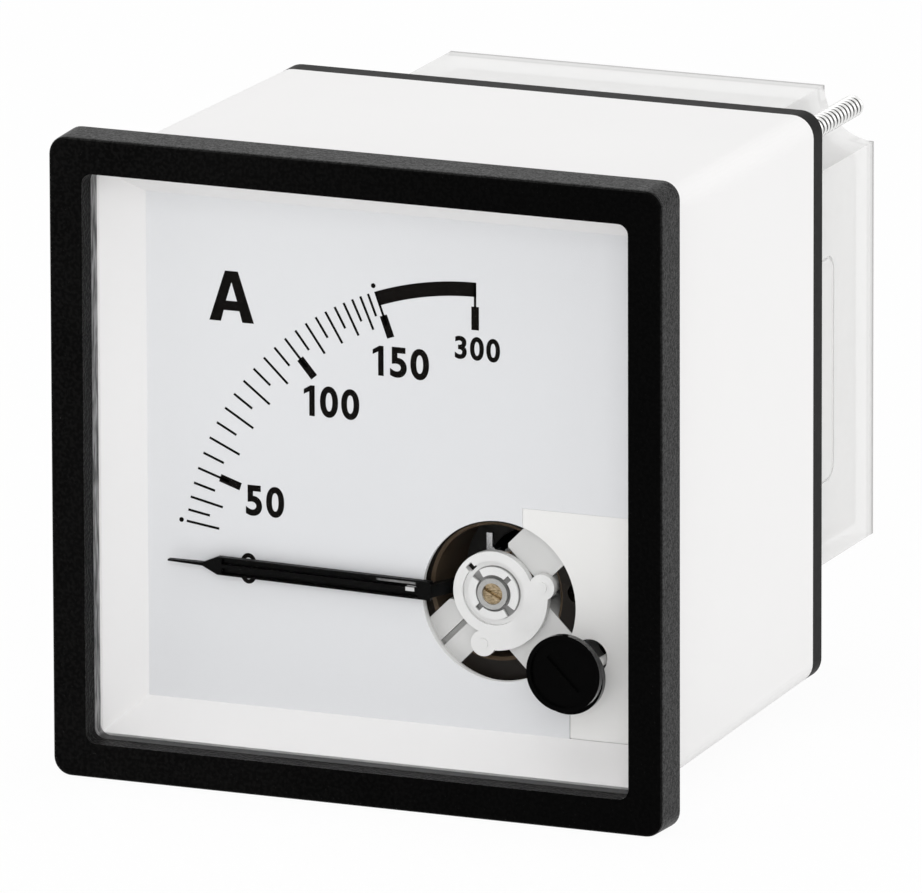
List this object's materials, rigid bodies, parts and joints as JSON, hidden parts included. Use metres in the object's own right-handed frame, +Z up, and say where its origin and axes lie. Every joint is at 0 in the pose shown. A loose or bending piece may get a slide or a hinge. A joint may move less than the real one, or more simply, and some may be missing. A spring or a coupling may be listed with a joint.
{
  "type": "analog panel meter",
  "caption": "Square panel meter with a quarter-circle current scale, a pointer on a jewelled spindle, a zero adjuster, a deep white case and a milky cover over the rear terminals.",
  "frame": {"origin": "centre of the bezel's back face, in the plane of the panel's front", "axes": "X to the right seen from the front, +Y from the panel's front to its back, Z up"},
  "size_m": [0.072, 0.0776, 0.072],
  "materials": {
    "bezel_black": "fine-grained matte moulding",
    "window_clear": "clear polished",
    "case_white": "smooth moulding",
    "dial_white": "satin print",
    "carrier_white": "smooth moulding",
    "bridge_white": "smooth moulding",
    "zinc_steel": "bright zinc plate",
    "housing_dark": "dull moulding",
    "bobbin_dark": "dull moulding",
    "winding_copper": "enamelled wire",
    "vane_iron": "soft iron sheet",
    "bush_metal": "turned",
    "brass_yellow": "turned",
    "jewel_red": "polished",
    "rear_black": "satin moulding",
    "strap_copper": "rolled strip",
    "pointer_black": "satin moulding",
    "spindle_steel": "ground",
    "vane_aluminium": "thin sheet",
    "spring_bronze": "rolled strip",
    "adjuster_black": "polished moulding",
    "lever_metal": "stamped sheet",
    "cover_milky": "milky, slightly grained"
  },
  "bodies": {
    "base": {"front_bezel": "bezel_black", "window_pane": "window_clear", "case": "case_white", "dial_plate": "dial_white", "dial_carrier": "carrier_white", "carrier_screws": "zinc_steel", "spider_frame": "bridge_white", "front_bridge": "bridge_white", "front_bearing_bush": "bush_metal", "front_jewel_screw": "brass_yellow", "front_jewel": "jewel_red", "coil_housing": "housing_dark", "coil_bobbin": "bobbin_dark", "coil_winding": "winding_copper", "fixed_vane": "vane_iron", "damping_chamber": "bobbin_dark", "rear_bearing_bush": "bush_metal", "rear_jewel_screw": "brass_yellow", "rear_jewel": "jewel_red", "rear_plate": "rear_black", "housing_screws": "zinc_steel", "case_screws": "zinc_steel", "terminal_studs": "brass_yellow", "terminal_nuts": "brass_yellow", "terminal_washers": "zinc_steel", "terminal_straps": "strap_copper", "mounting_studs": "zinc_steel"},
    "pointer_body": {"pointer": "pointer_black", "spindle": "spindle_steel", "balance_arms": "vane_aluminium", "counterweight": "brass_yellow", "balance_weights": "brass_yellow", "spring_collet": "brass_yellow", "hairspring": "spring_bronze", "moving_vane": "vane_iron", "damping_vane": "vane_aluminium"},
    "adjuster_body": {"zero_adjuster": "adjuster_black", "adjuster_cam": "adjuster_black"},
    "lever_body": {"zero_lever": "lever_metal"},
    "cover_body": {"terminal_cover": "cover_milky"}
  },
  "joints": [
    {"name": "pointer_swing", "type": "hinge", "parent": "base", "child": "pointer_body", "pos_m": [0.0121, 0, -0.0132], "axis": [0, 1, 0], "range_deg": [-3, 93], "stiffness_Nm_per_rad": 0.00004, "deforming": ["hairspring"]},
    {"name": "adjuster_turn", "type": "hinge", "parent": "base", "child": "adjuster_body", "pos_m": [0.0238, -0.0005, -0.019], "axis": [0, 1, 0], "range_deg": [-45, 45]},
    {"name": "lever_swing", "type": "hinge", "parent": "base", "child": "lever_body", "pos_m": [0.0121, 0, -0.0132], "axis": [0, 1, 0], "range_deg": [-4, 4]},
    {"name": "cover_pull", "type": "slide", "parent": "base", "child": "cover_body", "axis": [0, 1, 0], "range_m": [0, 0.03]}
  ],
  "couplings": [
    {"joint": "lever_swing", "follows": "adjuster_turn", "ratio": 0.081}
  ]
}
